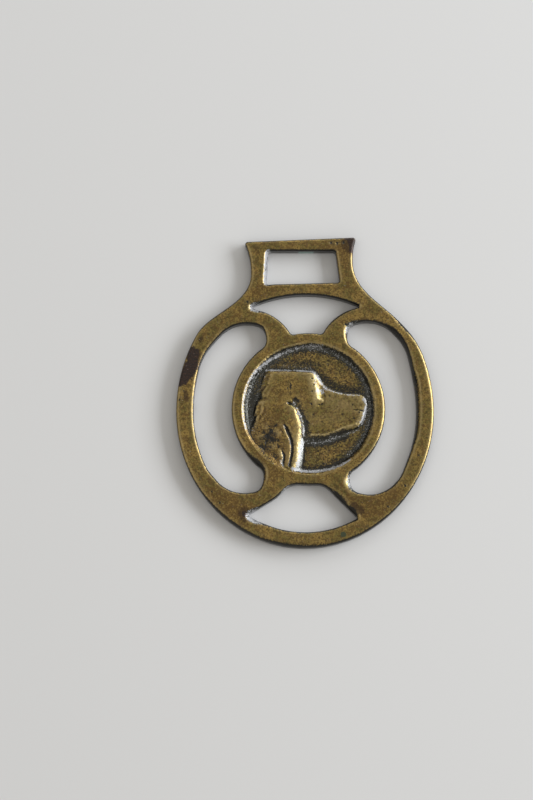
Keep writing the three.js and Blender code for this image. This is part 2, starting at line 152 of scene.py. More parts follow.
NECK_BACK = (
    (-0.64, -0.98, 0.08), (-0.98, -0.53, 0.08), (-0.93, -0.38, 0.08), (-0.875, -0.28, 0.08),
    (-0.825, -0.17, 0.08), (-0.835, -0.03, 0.08), (-0.8, 0.07, 0.09), (-0.68, 0.15, 0.1),
    (-0.5, 0.27, 0.1), (-0.3, 0.22, 0.06),
)

# Ridges of the head: above the eye, as y and x there, along the jaw and below the eye
BROW_RIDGE = ((-0.2, 0.0), (0.05, 0.1), (0.2, 0.13), (0.3, 0.098), (0.4, 0.07), (0.6, 0.04))
JAW_RIDGE = ((0.0, -0.395), (0.25, -0.395), (0.385, -0.345), (0.53, -0.28), (0.7, -0.235))
LOWER_LID = ((0.1, 0.16), (0.2, 0.12))

# Levels of head and neck, how far in from their outlines they swell, and the slope's share
HEAD_LEVEL = 0.6
NECK_LEVEL = 0.82
SWELL_REACH = 0.16
SLOPE_SHARE = 0.8
PATH_STEPS = 6

# The skull's rise above the muzzle fades across the brow ridge and down the cheek
SKULL_RISE = 0.48
SKULL_ACROSS = (0.12, -0.03)
SKULL_DOWN = (-0.25, 0.2)

# Round forms of the head: middle, stretch along x and y, reach and rise. Long ones: path, reach
# to both sides and rise.
HEAD_BUMPS = {
    "nose": ((0.8, -0.09), (1.0, 1.3), 0.05, 0.06),
    "nostril": ((0.79, 0.03), (1.0, 1.0), 0.03, -0.07),
    "eye_socket": ((0.19, 0.26), (1.0, 1.6), 0.06, -0.22),
}
HEAD_LINES = {"lip": (JAW_RIDGE, 0.018, 0.12), "lower_lid": (LOWER_LID, 0.028, 0.14)}

# The head is hollowed beside the ear, given by reach and depth, and the ear's edge is rolled
EAR_HOLLOWS = ((0.08, 0.12), (0.025, 0.16))
EAR_ROLL = {"inset": 0.09, "reach": 0.1, "rise": 0.26}

# Zones of the relief: an axis, where the zone starts along it and where it is full
X, Y = 0, 1
NECK_FUR = ((X, -0.36, -0.46), (Y, -0.15, -0.3))
NAPE_HAIR = ((X, -0.58, -0.68), (Y, -0.25, -0.12), (Y, 0.1, 0.04))
SKULL_HAIR = ((X, -0.5, -0.62), (Y, 0.1, 0.2), (Y, 0.55, 0.45))
ROUGH_NECK = ((X, -0.28, -0.45), (Y, -0.05, -0.3))

# Hair: waves along x and y and where they start, for locks on the neck, and for curling strands
LOCK_HEIGHT = 0.14
LOCK_WAVES = ((21.0, 7.0, 1.0), (-5.0, 19.0, 0.0))
HAIR_DEPTH = 0.18
HAIR_WAVES = (75.0, -34.0)
HAIR_CURL = 0.9
HAIR_CURL_WAVES = 31.0
SKULL_HAIR_SHARE = 0.6

# Folds and grooves: x, y and depth along each, and their width. All heights and depths here are
# shares of the relief height.
FOLDS = {
    "ear": (((-0.365, -0.235, 0.1), (-0.335, -0.29, 0.4), (-0.306, -0.357, 0.4),
        (-0.262, -0.48, 0.34), (-0.247, -0.603, 0.3), (-0.262, -0.725, 0.3),
        (-0.285, -0.86, 0.26)), 0.022),
    "neck": (((-0.415, -0.6, 0.0), (-0.385, -0.66, 0.26), (-0.365, -0.72, 0.3),
        (-0.39, -0.86, 0.28)), 0.02),
    "nape": (((-0.75, -0.56, 0.0), (-0.7, -0.62, 0.14), (-0.65, -0.69, 0.16),
        (-0.55, -0.785, 0.14), (-0.48, -0.83, 0.0)), 0.02),
    "skull_back": (((-0.8, 0.156, 0.3), (-0.71, 0.165, 0.25), (-0.58, 0.145, 0.0)), 0.035),
    "ear_root": (((-0.32, 0.1, 0.0), (-0.29, 0.075, 0.4), (-0.24, 0.06, 0.3),
        (-0.215, 0.035, 0.2), (-0.19, 0.0, 0.0)), 0.02),
    "ear_top": (((-0.24, 0.165, 0.0), (-0.195, 0.14, 0.2), (-0.165, 0.12, 0.2),
        (-0.13, 0.08, 0.0)), 0.018),
    "mouth": (((0.64, -0.015, 0.0), (0.72, -0.02, 0.12), (0.81, -0.035, 0.22)), 0.014),
}

# Small pits of the relief: x, y and depth
SPECK_RADIUS = 0.012
SPECKS = (
    (0.055, 0.256, 0.14), (0.042, 0.067, 0.16), (-0.31, 0.3, 0.12), (0.656, 0.055, 0.06),
    (0.317, 0.183, 0.08), (0.34, 0.11, 0.05), (0.068, -0.09, 0.1), (-0.02, -0.198, 0.1),
    (0.753, -0.06, 0.1), (0.675, -0.14, 0.08), (0.05, 0.446, 0.14), (0.078, 0.355, 0.12),
    (0.2, 0.07, 0.05), (0.16, 0.055, 0.06), (-0.05, -0.33, 0.06), (0.2, -0.19, 0.05),
    (-0.44, 0.42, 0.05), (-0.6, 0.36, 0.06), (0.5, -0.08, 0.04),
    (-0.262, 0.37, 0.07), (-0.264, 0.35, 0.08), (-0.265, 0.33, 0.08), (-0.263, 0.31, 0.07),
    (-0.264, 0.29, 0.09), (-0.266, 0.24, 0.08),
)
NECK_PIT_RADIUS = 0.032
NECK_PITS = (
    (-0.556, -0.342, 0.2), (-0.541, -0.457, 0.16), (-0.61, -0.42, 0.14), (-0.45, -0.56, 0.1),
    (-0.67, -0.36, 0.1), (-0.5, -0.39, 0.12), (-0.62, -0.5, 0.12), (-0.49, -0.26, 0.08),
    (-0.58, -0.27, 0.1), (-0.53, -0.51, 0.1), (-0.66, -0.44, 0.08), (-0.4, -0.34, 0.08),
    (-0.47, -0.47, 0.1), (-0.58, -0.58, 0.08), (-0.72, -0.47, 0.08), (-0.38, -0.6, 0.08),
)

# Polish and painted highlights on the relief: a line, its reach to both sides, and its brightness
POLISH_AND_HIGHLIGHTS = (
    (((0.06, 0.47), (0.09, 0.36), (0.11, 0.25), (0.13, 0.15)), 0.07, 0.9),
    (((0.12, 0.17), (0.2, 0.12)), 0.04, 0.7),
    (((0.3, 0.1), (0.55, 0.05), (0.75, 0.08)), 0.14, 0.34),
    (((0.1, -0.15), (0.45, -0.15)), 0.14, 0.2),
    (JAW_RIDGE, 0.014, 1.0),
    (((-0.2, 0.02), (-0.14, -0.1), (-0.12, -0.25), (-0.13, -0.42), (-0.16, -0.65)), 0.05, 0.3),
    (((-0.16, -0.65), (-0.2, -0.95)), 0.03, 0.2),
    (((0.8, 0.17), (0.83, 0.05), (0.78, -0.1), (0.73, -0.22)), 0.03, 0.8),
    (((-0.42, -0.62), (-0.4, -0.7)), 0.03, 0.6),
    (((-0.335, -0.28), (-0.29, -0.42)), 0.03, 0.5),
)

# Painted shade on the relief and its ground, given in the same way
PAINTED_SHADE = (
    (((0.0, -0.49), (0.2, -0.49), (0.52, -0.39)), 0.075, 1.0),
    (((-0.07, -0.52), (-0.1, -0.7), (-0.13, -0.9)), 0.05, 0.3),
    (((-0.15, -0.08), (-0.1, -0.27), (-0.1, -0.45), (-0.13, -0.65), (-0.16, -0.9)), 0.07, 0.3),
    (((-0.2, 0.125), (-0.165, 0.09), (-0.11, -0.005), (-0.045, -0.13), (-0.012, -0.27),
      (-0.015, -0.4)), 0.045, 0.55),
    (((-0.31, -0.3), (-0.25, -0.42), (-0.215, -0.58), (-0.22, -0.75), (-0.24, -0.88)), 0.045, 0.3),
    (((-0.3, 0.86), (0.1, 0.97), (0.6, 0.77), (0.86, 0.45)), 0.05, 0.4),
    (((-0.5, 0.7), (-0.1, 0.69), (0.1, 0.66)), 0.07, 0.3),
    (((0.22, 0.48), (0.32, 0.39), (0.5, 0.315), (0.75, 0.29)), 0.05, 0.4),
    (((-0.75, 0.56), (-0.55, 0.78), (-0.3, 0.9)), 0.025, 0.5),
)

ARC_POINTS = 13


def arc(reach, start, end):
    """Points at one distance from the medallion's middle, between two angles."""
    turn = np.radians(np.linspace(start, end, ARC_POINTS))
    return reach * np.column_stack([np.cos(turn), np.sin(turn)])


# Pale residue and painted sheen in the recess: a line, its reach to both sides, and how dense it is
RESIDUE_AND_SHEEN = (
    (((-0.62, 0.58), (-0.16, 0.572), (0.07, 0.56)), 0.022, 0.86),
    (((0.08, 0.545), (0.12, 0.5), (0.17, 0.41), (0.22, 0.335), (0.27, 0.3)), 0.034, 0.8),
    (((0.27, 0.3), (0.36, 0.265), (0.45, 0.232), (0.57, 0.21), (0.75, 0.2)), 0.018, 0.7),
    (((0.83, 0.15), (0.865, 0.05), (0.84, -0.04), (0.82, -0.12), (0.78, -0.2)), 0.03, 1.0),
    (((0.1, 0.43), (0.13, 0.34), (0.15, 0.27)), 0.034, 0.68),
    (((0.135, 0.27), (0.2, 0.25)), 0.045, 0.85),
    (((-0.215, 0.085), (-0.175, -0.01), (-0.11, -0.127), (-0.08, -0.265), (-0.08, -0.4)),
     0.032, 0.66),
    (((-0.09, -0.47), (-0.115, -0.6), (-0.14, -0.75), (-0.17, -0.88)), 0.042, 0.76),
    (((-0.24, -0.9), (-0.11, -0.935), (0.1, -0.942), (0.3, -0.91), (0.47, -0.855), (0.61, -0.78)),
     0.026, 1.2),
    (((0.2, 0.93), (0.05, 0.94), (-0.11, 0.926), (-0.3, 0.87)), 0.036, 0.68),
    (((-0.22, 0.9), (-0.41, 0.825)), 0.026, 0.72),
    (((-0.41, 0.825), (-0.59, 0.73), (-0.77, 0.583), (-0.87, 0.44)), 0.026, 0.95),
    (((-0.87, 0.44), (-0.93, 0.32), (-0.975, 0.1), (-0.98, -0.1), (-0.93, -0.3)), 0.02, 0.8),
    (arc(0.9, 110, 200), 0.09, 0.28),
    (arc(0.925, 20, 95), 0.045, 0.42),
    (arc(0.92, -50, 20), 0.06, 0.36),
    (((-0.64, 0.5), (-0.72, 0.3), (-0.78, 0.1)), 0.06, 0.3),
    (((-0.02, -0.48), (0.12, -0.51)), 0.055, 0.46),
    (((0.12, -0.51), (0.26, -0.49), (0.4, -0.43)), 0.045, 0.48),
    (((0.44, -0.43), (0.56, -0.38), (0.74, -0.32)), 0.028, 0.46),
    (((0.74, -0.28), (0.84, -0.16)), 0.025, 0.5),
    (((-0.42, -0.78), (-0.38, -0.86)), 0.025, 0.5),
    (((-0.4, 0.64), (0.05, 0.6)), 0.05, 0.3),
)

# The same, as painted sheen, on leaning edges of the openings: places in millimetres, reach and
# density
EDGE_SHEEN = (
    ((12.3, 18.0), 2.4, 0.85), ((11.6, -26.0), 2.6, 0.85), ((-14.4, 23.5), 2.4, 0.95),
    ((-14.2, -35.7), 3.0, 1.1), ((-5.3, -27.9), 1.8, 0.8), ((-31.0, -1.0), 4.5, 0.6),
    ((-30.6, -9.0), 4.0, 0.6), ((-11.0, 39.0), 2.0, 1.3), ((-11.0, 36.5), 2.4, 1.2),
    ((-11.2, 33.5), 2.4, 1.2), ((-11.3, 31.2), 1.2, 1.3),
)

# Small pits in the ring: place, radius and depth
RING_PITS = (
    ((-16.15, 25.27), 0.35, 0.16), ((11.49, 18.77), 0.3, 0.16), ((-25.92, -28.44), 0.3, 0.14),
    ((-23.7, -31.55), 0.25, 0.12), ((27.68, -26.75), 0.35, 0.16), ((31.59, -18.27), 0.25, 0.12),
    ((7.5, 42.35), 0.32, 0.2), ((9.2, 42.15), 0.36, 0.22), ((11.1, 42.4), 0.34, 0.22),
    ((-35.0, -2.6), 0.25, 0.12), ((-33.9, -0.2), 0.22, 0.1), ((22.9, -32.6), 0.3, 0.14),
)

# Tarnish and other marks: the line that each follows, and how far it reaches from that line
MARKS = {
    "tarnish": (
        (((-31.4, 10.6), (-31.7, 7.4), (-32.9, 4.8), (-34.9, 2.9)), 1.8),
        (((12.6, 43.8), (13.8, 42.2), (13.9, 40.4)), 1.3),
        (((-13.6, 43.4), (0.0, 43.9), (12.0, 44.3)), 0.42),
        (((-16.9, -34.4), (-16.7, -34.9)), 0.75),
    ),
    "brown": (
        (((-33.3, -0.6), (-33.2, -2.4)), 0.7),
        (((-30.9, 10.0), (-31.4, 7.6), (-34.6, 3.4)), 2.0),
        (((-29.4, 14.2), (-29.0, 14.8)), 0.6),
        (((-16.9, -34.5), (-16.8, -35.1)), 1.7),
        (((13.4, -32.2), (15.4, -33.8)), 1.0),
        (((-29.9, -13.0), (-29.6, -14.0)), 0.8),
        (((11.8, 42.4), (13.4, 40.4)), 1.7),
    ),
    "verdigris": ((((-1.2, 39.9), (0.6, 39.9), (2.2, 39.9)), 0.5),),
    "green": ((((10.4, -40.3), (10.5, -40.3)), 0.75),),
    "mottling": (
        (((13.0, -32.0), (19.0, -33.0), (24.0, -29.0)), 3.0),
        (((-12.0, -25.0), (-9.0, -23.0)), 2.0),
        (((-24.0, -30.0), (-17.0, -35.0)), 3.5),
        (((-13.0, 28.0), (-8.0, 30.0)), 2.0),
        (((8.0, 41.0), (13.0, 38.0)), 3.0),
        (((-12.0, -10.0), (-9.0, -17.0)), 5.0),
    ),
}

# Where the finish of the recess changes: ranges of reach, and of depth below the face
LOWEST_RECESS = 1.0
RECESS_EDGE = (1.003, 0.985)
BY_WALL = (0.79, 0.9)
DEEP = (0.2, 1.3)
SHALLOW_WALL = (0.0, 0.4)
HOLLOW_ROUNDS = 70

# Soft spots of the recess: middle, stretch along x and y, and reach
LEFT_FIELD = ((-0.85, 0.05), (0.5, 1.0), 0.32)
NECK_MIDDLE = ((-0.6, -0.45), (1.0, 1.2), 0.2)

# How far the stain of a small pit of the relief reaches
NECK_PIT_STAIN = 0.035
SPECK_STAIN = 0.016

# Slopes that count as steep, in degrees, and the slopes towards the hanger, which stay lighter
STEEP = (24.0, 44.0)
FACES_HANGER = (0.15, 0.4)
SPARED_SHARE = 0.8

# Dark patina on the plate's edges: strength, and how deep below the face it sets in. Painted
# shade on slopes towards the foot and the hanger: the same, with the slope's turn between the two.
EDGE_REACH = 2.0
LOW_PATINA = (0.8, (0.26, 0.6))
SLOPE_SHADE = ((0.9, (-0.12, -0.4), (0.04, 0.2)), (0.8, (0.14, 0.4), (0.06, 0.25)))
PIT_STAIN = 1.2

# Wear, partly painted highlight: on ridges of the relief that aren't turned to the hanger, on the
# shoulder of the plate's edges, mostly at the sides; a painted highlight on the rim's inner right
# edge
RIDGE_WEAR_AND_SHEEN = 4.0
UNLIT_SHARE = 0.9
TURNED_TO_HANGER = (0.05, 0.3)
SHOULDER_WEAR_AND_SHEEN = 0.8
SHOULDER_DEPTH = 0.12
SHOULDER_REACH = 0.09
SHOULDER_SIDES = (0.1, 0.9)
RIM_HIGHLIGHT = 0.4
RIM_EDGE = 1.006
RIM_EDGE_REACH = 0.012
RIM_LIT_FROM = (-0.3, 0.3)

# Added to what something is divided by
NEVER_ZERO = 0.01

# Residue and painted sheen on edges needs a slope, in degrees, and verdigris stays low on its wall
EDGE_SHEEN_SLOPE = (18.0, 40.0)
VERDIGRIS_FADES = (2.6, 1.0)
LEFT_CRUST = 0.7


# Numbers for a whole set of places at once


def ramp(value, low, high):
    """0 at `low`, 1 at `high`, and a smooth change between them. Either may be the larger."""
    share = np.clip((value - low) / (high - low), 0, 1)
    return share * share * (3 - 2 * share)


def bell(distance, width):
    """1 at no distance, about a third at `width`, and next to nothing at twice that."""
    return np.exp(-((distance / width) ** 2))


def oval(places, middle, stretch, reach):
    """A soft spot, stretched along x and y."""
    return bell(np.hypot(*((places - middle) / stretch).T), reach)


def zone(places, spans):
    """1 inside a zone and 0 outside it, with soft borders."""
    share = np.ones(len(places))
    for axis, start, full in spans:
        share *= ramp(places[:, axis], start, full)
    return share


def nearest_on_path(places, path):
    """How far each place is from a path of x, y and a value, and the value there."""
    nearest = np.full(len(places), np.inf)
    value = np.zeros(len(places))
    for start, end in zip(path, path[1:]):
        along = (end - start)[:2]
        share = np.clip((places - start[:2]) @ along / (along @ along or 1), 0, 1)
        gap = places - start[:2] - share[:, None] * along
        length = np.hypot(gap[:, 0], gap[:, 1])
        closer = length < nearest
        nearest[closer] = length[closer]
        value[closer] = (start[-1] + share * (end[-1] - start[-1]))[closer]
    return nearest, value


def distance_to(places, spot):
    return np.linalg.norm(places - spot, axis=1)


def distance_to_path(places, path):
    return nearest_on_path(places, np.asarray(path, float))[0]


def strongest_line(places, lines):
    """The strongest of several soft lines. A line is a path, its reach and its strength."""
    strength = np.zeros(len(places))
    for path, reach, most in lines:
        strength = np.maximum(strength, most * bell(distance_to_path(places, path), reach))
    return strength


def pit_depth(places, pits, radius):
    """How deep small round pits are. A pit is x, y and its depth."""
    x, y = places.T
    return sum(
        depth * bell(np.hypot(x - pit_x, y - pit_y), radius) for pit_x, pit_y, depth in pits
    )


def is_inside(places, loop):
    inside = np.zeros(len(places), bool)
    x, y = places.T
    for (x0, y0), (x1, y1) in zip(loop, np.roll(loop, -1, axis=0)):
        if y0 != y1:
            inside ^= ((y0 > y) != (y1 > y)) & (x < x0 + (x1 - x0) * (y - y0) / (y1 - y0))
    return inside


def is_in_metal(places, loops):
    """Whether each place is inside the first loop and outside all the others."""
    inside = is_inside(places, loops[0])
    for loop in loops[1:]:
        inside &= ~is_inside(places, loop)
    return inside


def grain(places, scale, octaves, seed):
    """Smooth noise from about -1 to 1, with features about `scale` millimetres across."""
    step = Vector((0.0, 0.0, seed))
    return np.array([
        noise.fractal(Vector((x / scale, y / scale, 0.0)) + step, 1.0, 2.0, octaves)
        for x, y in places
    ])


# Outlines


def back_loops(obj):
    """The closed outlines of the solid's flat back, the outermost one first."""
    mesh = obj.data
    spots = {}
    of_vertex = [
        spots.setdefault(tuple(round(c / MM, 3) for c in v.co), len(spots)) for v in mesh.vertices
    ]
    places = np.array(list(spots))
    following = {}
    sides = set()
    for polygon in mesh.polygons:
        corners = [of_vertex[v] for v in polygon.vertices]
        if all(places[c][2] == 0 for c in corners):
            sides |= {(a, b) for a, b in zip(corners, corners[1:] + corners[:1])}
    for a, b in sides:
        if (b, a) not in sides:
            following[b] = a
    loops = []
    while following:
        loop = [next(iter(following))]
        while loop[-1] in following:
            loop.append(following.pop(loop[-1]))
        loops.append(places[loop[:-1], :2])
    return sorted(loops, key=lambda loop: -np.ptp(loop, axis=0).max())


def tangents(loop):
    """A direction at each point: along a straight edge beside it, and else between its sides."""
    ahead = np.roll(loop, -1, axis=0) - loop
    length = np.linalg.norm(ahead, axis=1)
    ahead /= length[:, None]
    behind = np.roll(ahead, 1, axis=0)
    before = np.roll(length, 1)
    mixed = ahead * before[:, None] + behind * length[:, None]
    mixed[length > STRAIGHT_FROM] = ahead[length > STRAIGHT_FROM]
    mixed[before > STRAIGHT_FROM] = behind[before > STRAIGHT_FROM]
    return mixed / np.linalg.norm(mixed, axis=1)[:, None]


def smooth_loop(loop):
    """The outline as evenly spaced points on a smooth curve through the solid's corners."""
    heading = tangents(loop)
    run = []
    for i, start in enumerate(loop):
        end = loop[(i + 1) % len(loop)]
        chord = np.linalg.norm(end - start)
        t = np.linspace(0, 1, max(2, math.ceil(chord / EDGE_SPACING)) + 1)[:-1, None]
        run.append(
            (2 * t**3 - 3 * t**2 + 1) * start
            + (t**3 - 2 * t**2 + t) * chord * heading[i]
            + (3 * t**2 - 2 * t**3) * end
            + (t**3 - t**2) * chord * heading[(i + 1) % len(loop)]
        )
    return np.vstack(run)


def finished_loop(loop):
    """The smooth outline with the casting's softer corners, within the solid's box."""
    loop = smooth_loop(loop)
    rounded = loop
    for _ in range(CORNER_ROUNDS):
        rounded = (np.roll(rounded, 1, axis=0) + 2 * rounded + np.roll(rounded, -1, axis=0)) / 4
    for corner in ROUNDED_CORNERS:
        share = bell(distance_to(loop, corner), CORNER_REACH)[:, None]
        loop = loop + share * (rounded - loop)
    low, high = (np.array(corner)[:2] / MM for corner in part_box(NODE))
    return np.clip(loop, low, high)


def inward(loop):
    """The direction from each point into the metal, which is on a loop's left."""
    across = np.roll(loop, -1, axis=0) - np.roll(loop, 1, axis=0)
    across /= np.linalg.norm(across, axis=1)[:, None]
    return np.column_stack([-across[:, 1], across[:, 0]])


class Outline:
    """All the loops together, and how far a place is from the nearest of them."""

    def __init__(self, loops):
        self.loops = loops
        self.points = np.vstack(loops)
        self.after = np.vstack([np.roll(loop, -1, axis=0) for loop in loops])
        self.before = np.vstack([np.roll(loop, 1, axis=0) for loop in loops])
        self.tree = kdtree.KDTree(len(self.points))
        for i, (x, y) in enumerate(self.points):
            self.tree.insert((x, y, 0), i)
        self.tree.balance()

    def distance(self, places):
        near = np.array([self.tree.find((x, y, 0))[1] for x, y in places])
        here = self.points[near]
        return np.minimum(
            self.to_side(places, here, self.after[near]),
            self.to_side(places, here, self.before[near]),
        )

    @staticmethod
    def to_side(places, start, end):
        along = end - start
        share = ((places - start) * along).sum(1) / (along * along).sum(1)
        return np.linalg.norm(places - start - np.clip(share, 0, 1)[:, None] * along, axis=1)

    def edge_shape(self, places):
        """The worn slope's width and depth. Of two leaning edges, the larger counts."""
        wider = np.zeros(len(places))
        deeper = np.zeros(len(places))
        for start, end, reach, width, depth in LEANING_EDGES:
            share = bell(distance_to_path(places, (start, end)), reach)
            wider = np.maximum(wider, width * share)
            deeper = np.maximum(deeper, depth * share)
        return WORN_WIDTH + wider, WORN_DEPTH + deeper


# Relief. Places are shares of the recess radius, and heights shares of the relief height.


def smooth_path(corners, is_closed):
    """A smooth curve through given corners."""
    corners = np.array(corners)
    count = len(corners)
    sides = range(count if is_closed else count - 1)
    run = []
    for i in sides:
        a, b, c, d = (
            corners[(i + k) % count] if is_closed else corners[min(max(i + k, 0), count - 1)]
            for k in (-1, 0, 1, 2)
        )
        t = np.linspace(0, 1, PATH_STEPS + 1)[:-1, None]
        run.append(
            b + t * (c - a) / 2 + t**2 * (a - 2.5 * b + 2 * c - d / 2)
            + t**3 * (1.5 * b - a / 2 - 1.5 * c + d / 2)
        )
    return np.vstack(run + ([run[0][:1]] if is_closed else [corners[-1:]]))


head_loop = smooth_path(HEAD_OUTLINE, True)
ear_front = smooth_path(EAR_FRONT, False)
neck_loop = np.vstack([ear_front, NECK_BACK, ear_front[:1]])


def fold_depth(places):
    """How deep the folds and grooves are."""
    total = np.zeros(len(places))
    for path, width in FOLDS.values():
        gap, depth = nearest_on_path(places, smooth_path(path, False))
        total += depth * bell(gap, width)
    return total


def raised(places, loop):
    """0 outside a form, a slope at its outline and a slight swell from there to its middle."""
    gap, slope = nearest_on_path(places, loop)
    steep = np.sin(np.clip(gap / slope, 0, 1) * math.pi / 2)
    full = np.sin(np.clip(gap / SWELL_REACH, 0, 1) * math.pi / 2)
    return is_inside(places, loop[:, :2]) * (SLOPE_SHARE * steep + (1 - SLOPE_SHARE) * full)


def head_height(places):
    x, y = places.T
    ridge = x - np.interp(y, *zip(*BROW_RIDGE))
    form = HEAD_LEVEL + SKULL_RISE * ramp(ridge, *SKULL_ACROSS) * ramp(y, *SKULL_DOWN)
    for middle, stretch, reach, rise in HEAD_BUMPS.values():
        form += rise * oval(places, middle, stretch, reach)
    for path, reach, rise in HEAD_LINES.values():
        form += rise * bell(distance_to_path(places, path), reach)
    beside_ear = distance_to_path(places, ear_front)
    for reach, depth in EAR_HOLLOWS:
        form -= depth * bell(beside_ear, reach)
    return raised(places, head_loop) * form


def neck_height(places):
    x, y = places.T
    from_roll = distance_to_path(places, ear_front) - EAR_ROLL["inset"]
    locks = LOCK_HEIGHT * zone(places, NECK_FUR)
    for along_x, along_y, start in LOCK_WAVES:
        locks = locks * np.sin(x * along_x + y * along_y + start)
    form = NECK_LEVEL + EAR_ROLL["rise"] * bell(from_roll, EAR_ROLL["reach"]) + locks
    return raised(places, neck_loop) * form


def relief_height(places):
    x, y = places.T
    form = np.maximum(head_height(places), neck_height(places)) - fold_depth(places)
    form -= pit_depth(places, SPECKS, SPECK_RADIUS)
    form -= pit_depth(places, NECK_PITS, NECK_PIT_RADIUS)
    hair = zone(places, NAPE_HAIR) + SKULL_HAIR_SHARE * zone(places, SKULL_HAIR)
    waves = x * HAIR_WAVES[0] + y * HAIR_WAVES[1] + HAIR_CURL * np.sin(y * HAIR_CURL_WAVES)
    form -= HAIR_DEPTH * hair * (1 + np.sin(waves)) / 2
    return np.maximum(form, 0)


# Surface


def plate_height(places, outline):
    """The height of the plate's face, with its worn edges and small pits."""
    gap = outline.distance(places)
    width, depth = outline.edge_shape(places)
    slope = np.clip(1 - gap / width, 0, 1)
    rounding = np.clip(1 - gap / ROUNDING, 0, 1)
    height = THICKNESS - depth * slope**SLOPE_CURVE
    height -= ROUNDING_DEPTH * (1 - np.sqrt(1 - rounding**2))
    worn = (1 + grain(places, *WEAR_GRAIN)) / 2
    height -= WEAR_DEPTH * worn * ramp(gap, 0, width)
    for spot, radius, sunk in RING_PITS:
        height -= sunk * bell(distance_to(places, spot), radius)
    return height


def wall_depth(shares, from_edge):
    """How far the recess's wall has come down at each place."""
    angle = np.degrees(np.arctan2(shares[:, 1], shares[:, 0]))
    width = RECESS_WALL + RECESS_LIP
    for direction, spread, extra in WIDE_WALLS:
        turn = (angle - direction + 180) % 360 - 180
        width = width + extra * bell(turn, spread)
    across = from_edge / width
    return RECESS_DEPTH * sum(part * ramp(across, start, end) for part, start, end in WALL_SLOPES)


def recess_height(places, plate):
    """The height inside the recess, given the plate's: the wall, the floor and the relief."""
    shares = (places - MEDALLION) / RECESS_RADIUS
    pebbles = grain(places, *PEBBLE_GRAIN)
    waves = grain(places, *WAVE_GRAIN)
    reach = np.linalg.norm(shares, axis=1) * RECESS_RADIUS
    from_edge = RECESS_RADIUS + RECESS_LIP - reach + WALL_WAVES * waves
    raised_by = RELIEF_HEIGHT * relief_height(shares)
    on_floor = ramp(raised_by, *ON_FLOOR)
    roughness = (
        PEBBLES
        + PEBBLES_ON_FLOOR * on_floor
        + PEBBLES_ON_NECK * zone(shares, ROUGH_NECK) * ramp(from_edge, *OFF_WALL)
        + PEBBLES_BY_WALL * on_floor * ramp(from_edge, *NEAR_WALL)
    )
    floor = THICKNESS - RECESS_DEPTH + raised_by
    sunk = np.maximum(plate - wall_depth(shares, from_edge), floor)
    sunk += ramp(from_edge, *GRAIN_STARTS) * (roughness * pebbles + WAVE_HEIGHT * waves)
    return np.minimum(sunk, plate)


def face_height(places, outline):
    """The height of the casting's face at each place."""
    height = plate_height(places, outline)
    in_recess = distance_to(places, MEDALLION) < RECESS_RADIUS + RECESS_LIP
    height[in_recess] = recess_height(places[in_recess], height[in_recess])
    return height


def hex_grid(low, high, spacing):
    rows = np.arange(low[1], high[1], spacing * math.sqrt(3) / 2)
    columns = np.arange(low[0], high[0], spacing)
    x, y = np.meshgrid(columns, rows)
    x[1::2] += spacing / 2
    return np.column_stack([x.ravel(), y.ravel()])


def edge_rows(outline):
    """Rows of points along the loops, on the worn slope of the face's edges."""
    rows = []
    for loop in outline.loops:
        into = inward(loop)
        width, _ = outline.edge_shape(loop)
        for share in EDGE_ROWS:
            offset = width * share
            row = loop + into * offset[:, None]
            rows.append(row[outline.distance(row) > ROW_CLEARANCE * offset])
    return rows


def pit_rings(outline):
    """Points in the middle of each small pit of the plate and in rings round it."""
    rings = []
    for spot, radius, _ in RING_PITS:
        rings.append(np.array([spot]))
        for share, count in PIT_RINGS:
            turn = np.arange(count) * 2 * math.pi / count
            ring = spot + share * radius * np.column_stack([np.cos(turn), np.sin(turn)])
            width, _ = outline.edge_shape(ring)
            rings.append(ring[outline.distance(ring) > width])
    return rings


def face_points(outline):
    """Points for the face: rows along its edges, and grids that are finer in the recess."""
    coarse = hex_grid(outline.points.min(0), outline.points.max(0), FACE_SPACING)
    fine_reach = RECESS_RADIUS + RECESS_LIP + RECESS_SPACING
    coarse = coarse[distance_to(coarse, MEDALLION) > fine_reach + FACE_SPACING / 2]
    coarse = coarse[is_in_metal(coarse, outline.loops)]
    width, _ = outline.edge_shape(coarse)
    coarse = coarse[outline.distance(coarse) > width + FACE_SPACING / 3]
    for spot, radius, _ in RING_PITS:
        coarse = coarse[distance_to(coarse, spot) > PIT_CLEARANCE * radius]
    reach = np.array([fine_reach, fine_reach])
    fine = hex_grid(MEDALLION - reach, MEDALLION + reach, RECESS_SPACING)
    fine = fine[distance_to(fine, MEDALLION) < fine_reach]
    return np.vstack([*edge_rows(outline), *pit_rings(outline), coarse, fine])


def fill(loops, extra):
    """Triangles over the loops' inside, through the extra points. Loop points come first."""
    # The triangulation works in single precision, so the inside test takes the same numbers
    loops = [loop.astype(np.float32).astype(float) for loop in loops]
    border = np.vstack(loops)
    sides = []
    start = 0
    for loop in loops:
        count = len(loop)
        sides += [(start + i, start + (i + 1) % count) for i in range(count)]
        start += count
    spots = [Vector(p) for p in np.vstack([border, extra]).tolist()]
    made = geometry.delaunay_2d_cdt(spots, sides, [], 1, 1e-6, True)
    places = np.array([tuple(p) for p in made[0]])
    source = np.array([min(ids) if ids else -1 for ids in made[3]])
    triangles = np.array(made[2])
    middles = places[triangles].mean(1)
    on_border = ((source[triangles] >= 0) & (source[triangles] < len(border))).all(1)
    kept = np.ones(len(triangles), bool)
    kept[on_border] = is_in_metal(middles[on_border], loops)
    triangles = triangles[kept]
    a, b, c = (places[triangles[:, k]] for k in range(3))
    turned = np.cross(b - a, c - a) < 0
    triangles[turned] = triangles[turned][:, ::-1]
    return places, triangles, source


